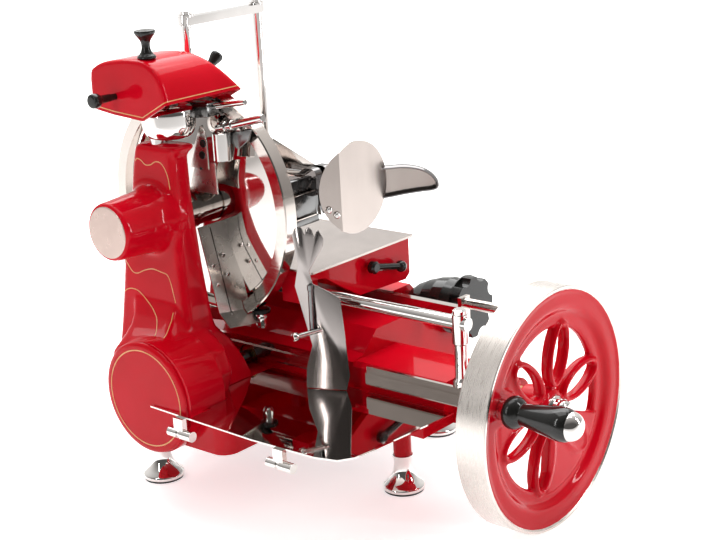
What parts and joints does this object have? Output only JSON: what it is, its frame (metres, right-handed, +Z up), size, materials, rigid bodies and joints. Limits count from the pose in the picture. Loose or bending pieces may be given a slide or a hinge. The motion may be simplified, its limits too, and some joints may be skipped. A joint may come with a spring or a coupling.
{
  "type": "hand crank meat slicer",
  "caption": "Flywheel meat slicer turned by hand, with a geared round blade, sliding meat table, press, sharpener and receiving tray.",
  "frame": {"origin": "middle of the bounding box's footprint, on the surface the feet stand on", "axes": "+Z up; the person who turns the flywheel stands at -Y; the blade's axis is along X and the meat is on its +X side"},
  "size_m": [0.498, 0.859, 0.643],
  "materials": {
    "red_paint": "gloss stoved enamel",
    "bright_steel": "polished",
    "blade_steel": "mirror ground",
    "chrome": "bright chrome",
    "turned_steel": "turned, satin",
    "gear_steel": "oiled",
    "bronze": "satin",
    "black_plastic": "gloss",
    "rubber": "matte",
    "stone": "abrasive grit"
  },
  "bodies": {
    "stand": {"base_casting": "red_paint", "base_floor_plate": "gear_steel", "column_casting": "red_paint", "drum_cover": "red_paint", "boss_cap": "turned_steel", "blade_bearings": "bronze", "blade_sleeve": "bright_steel", "guard_ring": "bright_steel", "cross_bearings": "bronze", "drive_chain": "gear_steel", "flywheel_bushes": "bronze", "feet": "chrome", "foot_pads": "rubber", "guide_rails": "bright_steel", "guide_rod": "chrome", "rod_posts": "chrome", "shoe_track": "bright_steel", "blade_plate": "bright_steel", "sharpener_neck": "chrome", "thickness_spindle": "bright_steel"},
    "wheel": {"flywheel": "red_paint", "flywheel_shaft": "bright_steel", "flywheel_gear": "gear_steel", "hub_nut": "chrome", "handle_pin": "chrome"},
    "grip": {"handle_grip": "black_plastic", "handle_cap": "chrome"},
    "cross": {"cross_shaft": "gear_steel", "cross_pinion": "gear_steel", "cross_sprocket": "gear_steel", "crank_disc": "gear_steel"},
    "cutter": {"blade_shaft": "bright_steel", "blade_hub": "bright_steel", "blade": "blade_steel", "blade_screws": "bright_steel", "blade_sprocket": "gear_steel"},
    "carriage": {"carriage_casting": "red_paint", "carriage_shoes": "bronze"},
    "table": {"meat_table": "bright_steel", "press_posts": "chrome", "crossbar": "chrome"},
    "press": {"press_bridge": "bright_steel", "press_arm": "bright_steel", "press_comb": "bright_steel"},
    "guard": {"guard_disc": "bright_steel", "guard_handle": "bright_steel"},
    "lever": {"lock_lever": "black_plastic"},
    "dial": {"thickness_knob": "black_plastic"},
    "tray": {"tray": "bright_steel", "tray_clips": "chrome"},
    "deflector": {"deflector": "bright_steel", "deflector_clamp": "chrome"},
    "sharpener": {"sharpener_hood": "red_paint", "sharpener_frame": "bright_steel"},
    "top_knob": {"lock_knob": "black_plastic"},
    "grinder": {"grinding_knob": "black_plastic"},
    "grinding_wheel": {"grinding_stone": "stone"},
    "honer": {"honing_knob": "black_plastic"},
    "honing_wheel": {"honing_stone": "stone"}
  },
  "joints": [
    {"name": "flywheel_spin", "type": "hinge", "parent": "stand", "child": "wheel", "pos_m": [0.024, -0.0925, 0.161], "axis": [0, 1, 0], "continuous": true},
    {"name": "handle_spin", "type": "hinge", "parent": "wheel", "child": "grip", "pos_m": [-0.09419, -0.3525, 0.2017], "axis": [0, 1, 0], "continuous": true},
    {"name": "cross_shaft_spin", "type": "hinge", "parent": "stand", "child": "cross", "pos_m": [-0.068, 0.1615, 0.161], "axis": [1, 0, 0], "continuous": true},
    {"name": "blade_spin", "type": "hinge", "parent": "stand", "child": "cutter", "pos_m": [-0.068, 0.2075, 0.383], "axis": [1, 0, 0], "continuous": true},
    {"name": "carriage_slide", "type": "slide", "parent": "stand", "child": "carriage", "axis": [0, 1, 0], "range_m": [-0.11, 0.11]},
    {"name": "table_feed", "type": "slide", "parent": "carriage", "child": "table", "axis": [1, 0, 0], "range_m": [0, 0.09]},
    {"name": "press_slide", "type": "slide", "parent": "table", "child": "press", "axis": [0, 0, 1], "range_m": [-0.04, 0.08]},
    {"name": "guard_swing", "type": "hinge", "parent": "press", "child": "guard", "pos_m": [0.028, 0.0665, 0.417], "axis": [-1, 0, 0], "range_deg": [0, 70]},
    {"name": "table_lock_turn", "type": "hinge", "parent": "carriage", "child": "lever", "pos_m": [0.084, 0.0235, 0.281], "axis": [0, 1, 0], "range_deg": [0, 25]},
    {"name": "thickness_turn", "type": "hinge", "parent": "stand", "child": "dial", "pos_m": [0.204, -0.0425, 0.2025], "axis": [0, 1, 0], "range_deg": [0, 300]},
    {"name": "tray_slide", "type": "slide", "parent": "stand", "child": "tray", "axis": [0, -1, 0], "range_m": [0, 0.06]},
    {"name": "deflector_lift", "type": "slide", "parent": "tray", "child": "deflector", "axis": [0, 0, 1], "range_m": [0, 0.05]},
    {"name": "sharpener_lift", "type": "slide", "parent": "stand", "child": "sharpener", "axis": [0, 0, 1], "range_m": [0, 0.04]},
    {"name": "top_knob_turn", "type": "hinge", "parent": "sharpener", "child": "top_knob", "pos_m": [-0.148, 0.1955, 0.597], "axis": [0, 0, 1], "range_deg": [0, 180]},
    {"name": "grinder_push", "type": "slide", "parent": "sharpener", "child": "grinder", "axis": [1, 0, 0], "range_m": [0, 0.014], "stiffness_N_per_m": 120},
    {"name": "grinding_stone_spin", "type": "hinge", "parent": "grinder", "child": "grinding_wheel", "pos_m": [-0.083, 0.2415, 0.549], "axis": [1, 0, 0], "continuous": true},
    {"name": "honer_push", "type": "slide", "parent": "sharpener", "child": "honer", "axis": [-0.8, 0, -0.6], "range_m": [0, 0.006], "stiffness_N_per_m": 150},
    {"name": "honing_stone_spin", "type": "hinge", "parent": "honer", "child": "honing_wheel", "pos_m": [-0.05, 0.2055, 0.552], "axis": [0.8, 0, 0.6], "continuous": true}
  ],
  "couplings": [
    {"joint": "cross_shaft_spin", "follows": "flywheel_spin", "ratio": -2},
    {"joint": "blade_spin", "follows": "flywheel_spin", "ratio": -3.1111}
  ]
}
